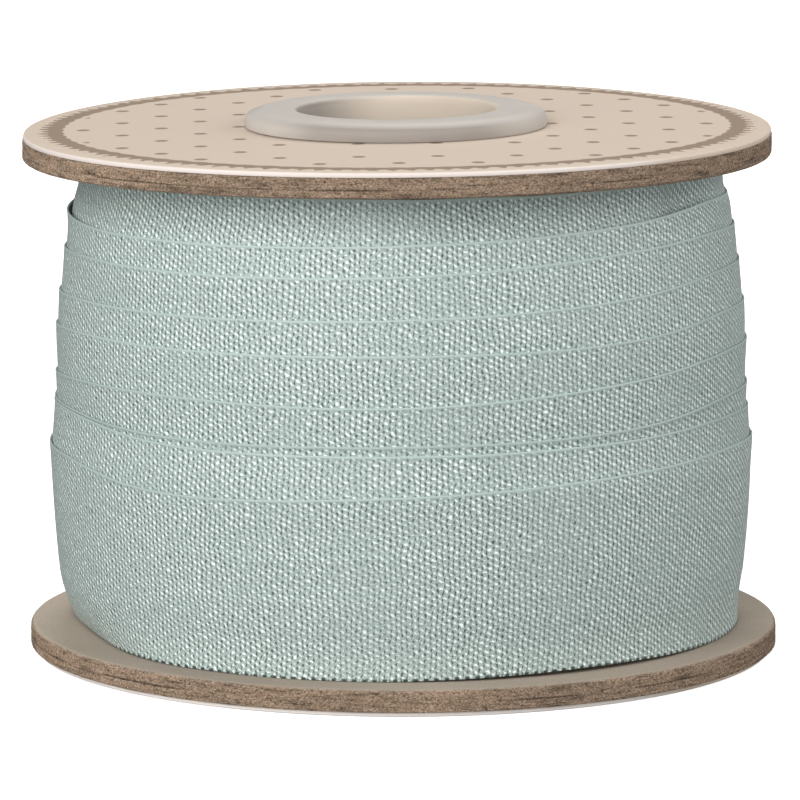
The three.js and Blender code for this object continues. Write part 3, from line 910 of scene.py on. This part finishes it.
# %% Wind it
turns = OUTER_END + np.arange(stations + 1) / stations * (INNER_END - OUTER_END)
degrees = (180 + 360 * turns) % 360
upper = np.minimum(selvedge(turns), UNDER_BOARD)
last_turn = turns < OUTER_END + 1
lower = np.where(last_turn, lower_line(180 + 360 * turns), upper - RIBBON_WIDTH)
below = np.tile(across_rows, (stations + 1, 1))
heights = upper[:, None] + (lower - upper)[:, None] * below / RIBBON_WIDTH
stray = np.array([
    [noise.noise(Vector((turn * STRAYS_PER_TURN, lane, 0))) for lane in (0.0, 7.0)] for turn in turns
])
heights += UPPER_STRAY * stray[:, :1] * (below < EDGE_ROWS[-1])
heights += LOWER_STRAY * stray[:, 1:] * (below > RIBBON_WIDTH - EDGE_ROWS[-1])
offsets = shingle(turns, heights)
beneath = shingle(turns + 1, heights) + RIBBON_PITCH
offsets[last_turn] = np.maximum(offsets, beneath)[last_turn]
from_edge = np.minimum(below, RIBBON_WIDTH - below)
bead = CORD_BULGE * np.exp(-(((from_edge - CORD_MIDDLE) / CORD_HALF) ** 2))
radii = barrel_line(heights) - tuck(heights, degrees[:, None]) + offsets + bead
radii += unevenness(turns, degrees, heights, below)
theta = np.radians(180 + 360 * turns)[:, None]
wound = np.stack([ROLL_CENTRE + radii * np.cos(theta), radii * np.sin(theta), heights], axis=-1)
for vert, station, row in zip(bm.verts, station_of, row_of):
    vert.co = wound[station, row]

uv = bm.loops.layers.uv.new("cloth")
for face in bm.faces:
    for loop in face.loops:
        i = loop.vert.index
        loop[uv].uv = (flat[i, 0] * strip_length, across_rows[row_of[i]])
bmesh.ops.recalc_face_normals(bm, faces=bm.faces)
if sum(face.normal.dot(Vector((*face.calc_center_median()[:2], 0))) for face in bm.faces) < 0:
    bmesh.ops.reverse_faces(bm, faces=bm.faces)
ribbon_strip = finish_piece("ribbon_strip", bm, ribbon_weave, "ribbon_weave", "ribbon_roll")
thickness = ribbon_strip.modifiers.new("thickness", "SOLIDIFY")
thickness.thickness = RIBBON_THICKNESS * MM
thickness.offset = -1
thickness.use_even_offset = False

# %% [markdown]
# Under the last pass of the strip lie the earlier ones, which show only in a narrow wedge at the back, where
# the last turn hasn't reached the lower flange. They are one closed body, spun from the same barrel line, a
# few ribbon thicknesses further in, and it wears the same weave.

# %% The earlier passes
CORE_STEPS = 256
CORE_FOOT, CORE_EDGE, CORE_TOP = 2.35, 3.1, 41.25
CORE_GAP = 0.32
CORE_RECESS = 1.6
# Above the first height the strip lies one layer deeper for each of the second, up to the third number.
LAYERS_FROM, LAYER_RISE, MOST_LAYERS = 5.0, 3.2, 5.2
core_heights = [CORE_FOOT, CORE_EDGE] + list(np.linspace(4.0, 38.5, 11)) + [CORE_TOP]


def core_radius(height):
    """Inside the deepest turn of the strip at that height, and drawn in at the foot."""
    layers = min(max(0.0, (height - LAYERS_FROM) / LAYER_RISE), MOST_LAYERS)
    recess = CORE_RECESS * max(0.0, (CORE_EDGE - height) / (CORE_EDGE - CORE_FOOT))
    return float(barrel_line(np.array(height))) - CORE_GAP - RIBBON_PITCH * layers - recess


core_outline = [(HUB_HOLE, core_heights[-1]), (HUB_HOLE, core_heights[0])]
core_outline += [(core_radius(z), z) for z in core_heights]
bm = outline_mesh(core_outline)
close_spin(bm, CORE_STEPS)
for vert in bm.verts:
    around = math.degrees(math.atan2(vert.co.y, vert.co.x)) % 360
    radius = math.hypot(vert.co.x, vert.co.y)
    if radius > HUB_HOLE + 1:
        inward = float(tuck(np.array(vert.co.z), around)) / radius
        vert.co.x = vert.co.x * (1 - inward) + ROLL_CENTRE
        vert.co.y *= 1 - inward
uv = bm.loops.layers.uv.new("cloth")
for face in bm.faces:
    middle = face.calc_center_median()
    for loop in face.loops:
        turned = math.atan2(loop.vert.co.y, loop.vert.co.x)
        if abs(turned - math.atan2(middle.y, middle.x)) > math.pi:
            turned += math.copysign(2 * math.pi, middle.y)
        loop[uv].uv = (turned * MEAN_RADIUS, 5 + loop.vert.co.z % 5)
finish_piece("ribbon_core", bm, ribbon_weave, "ribbon_weave", "ribbon_roll")
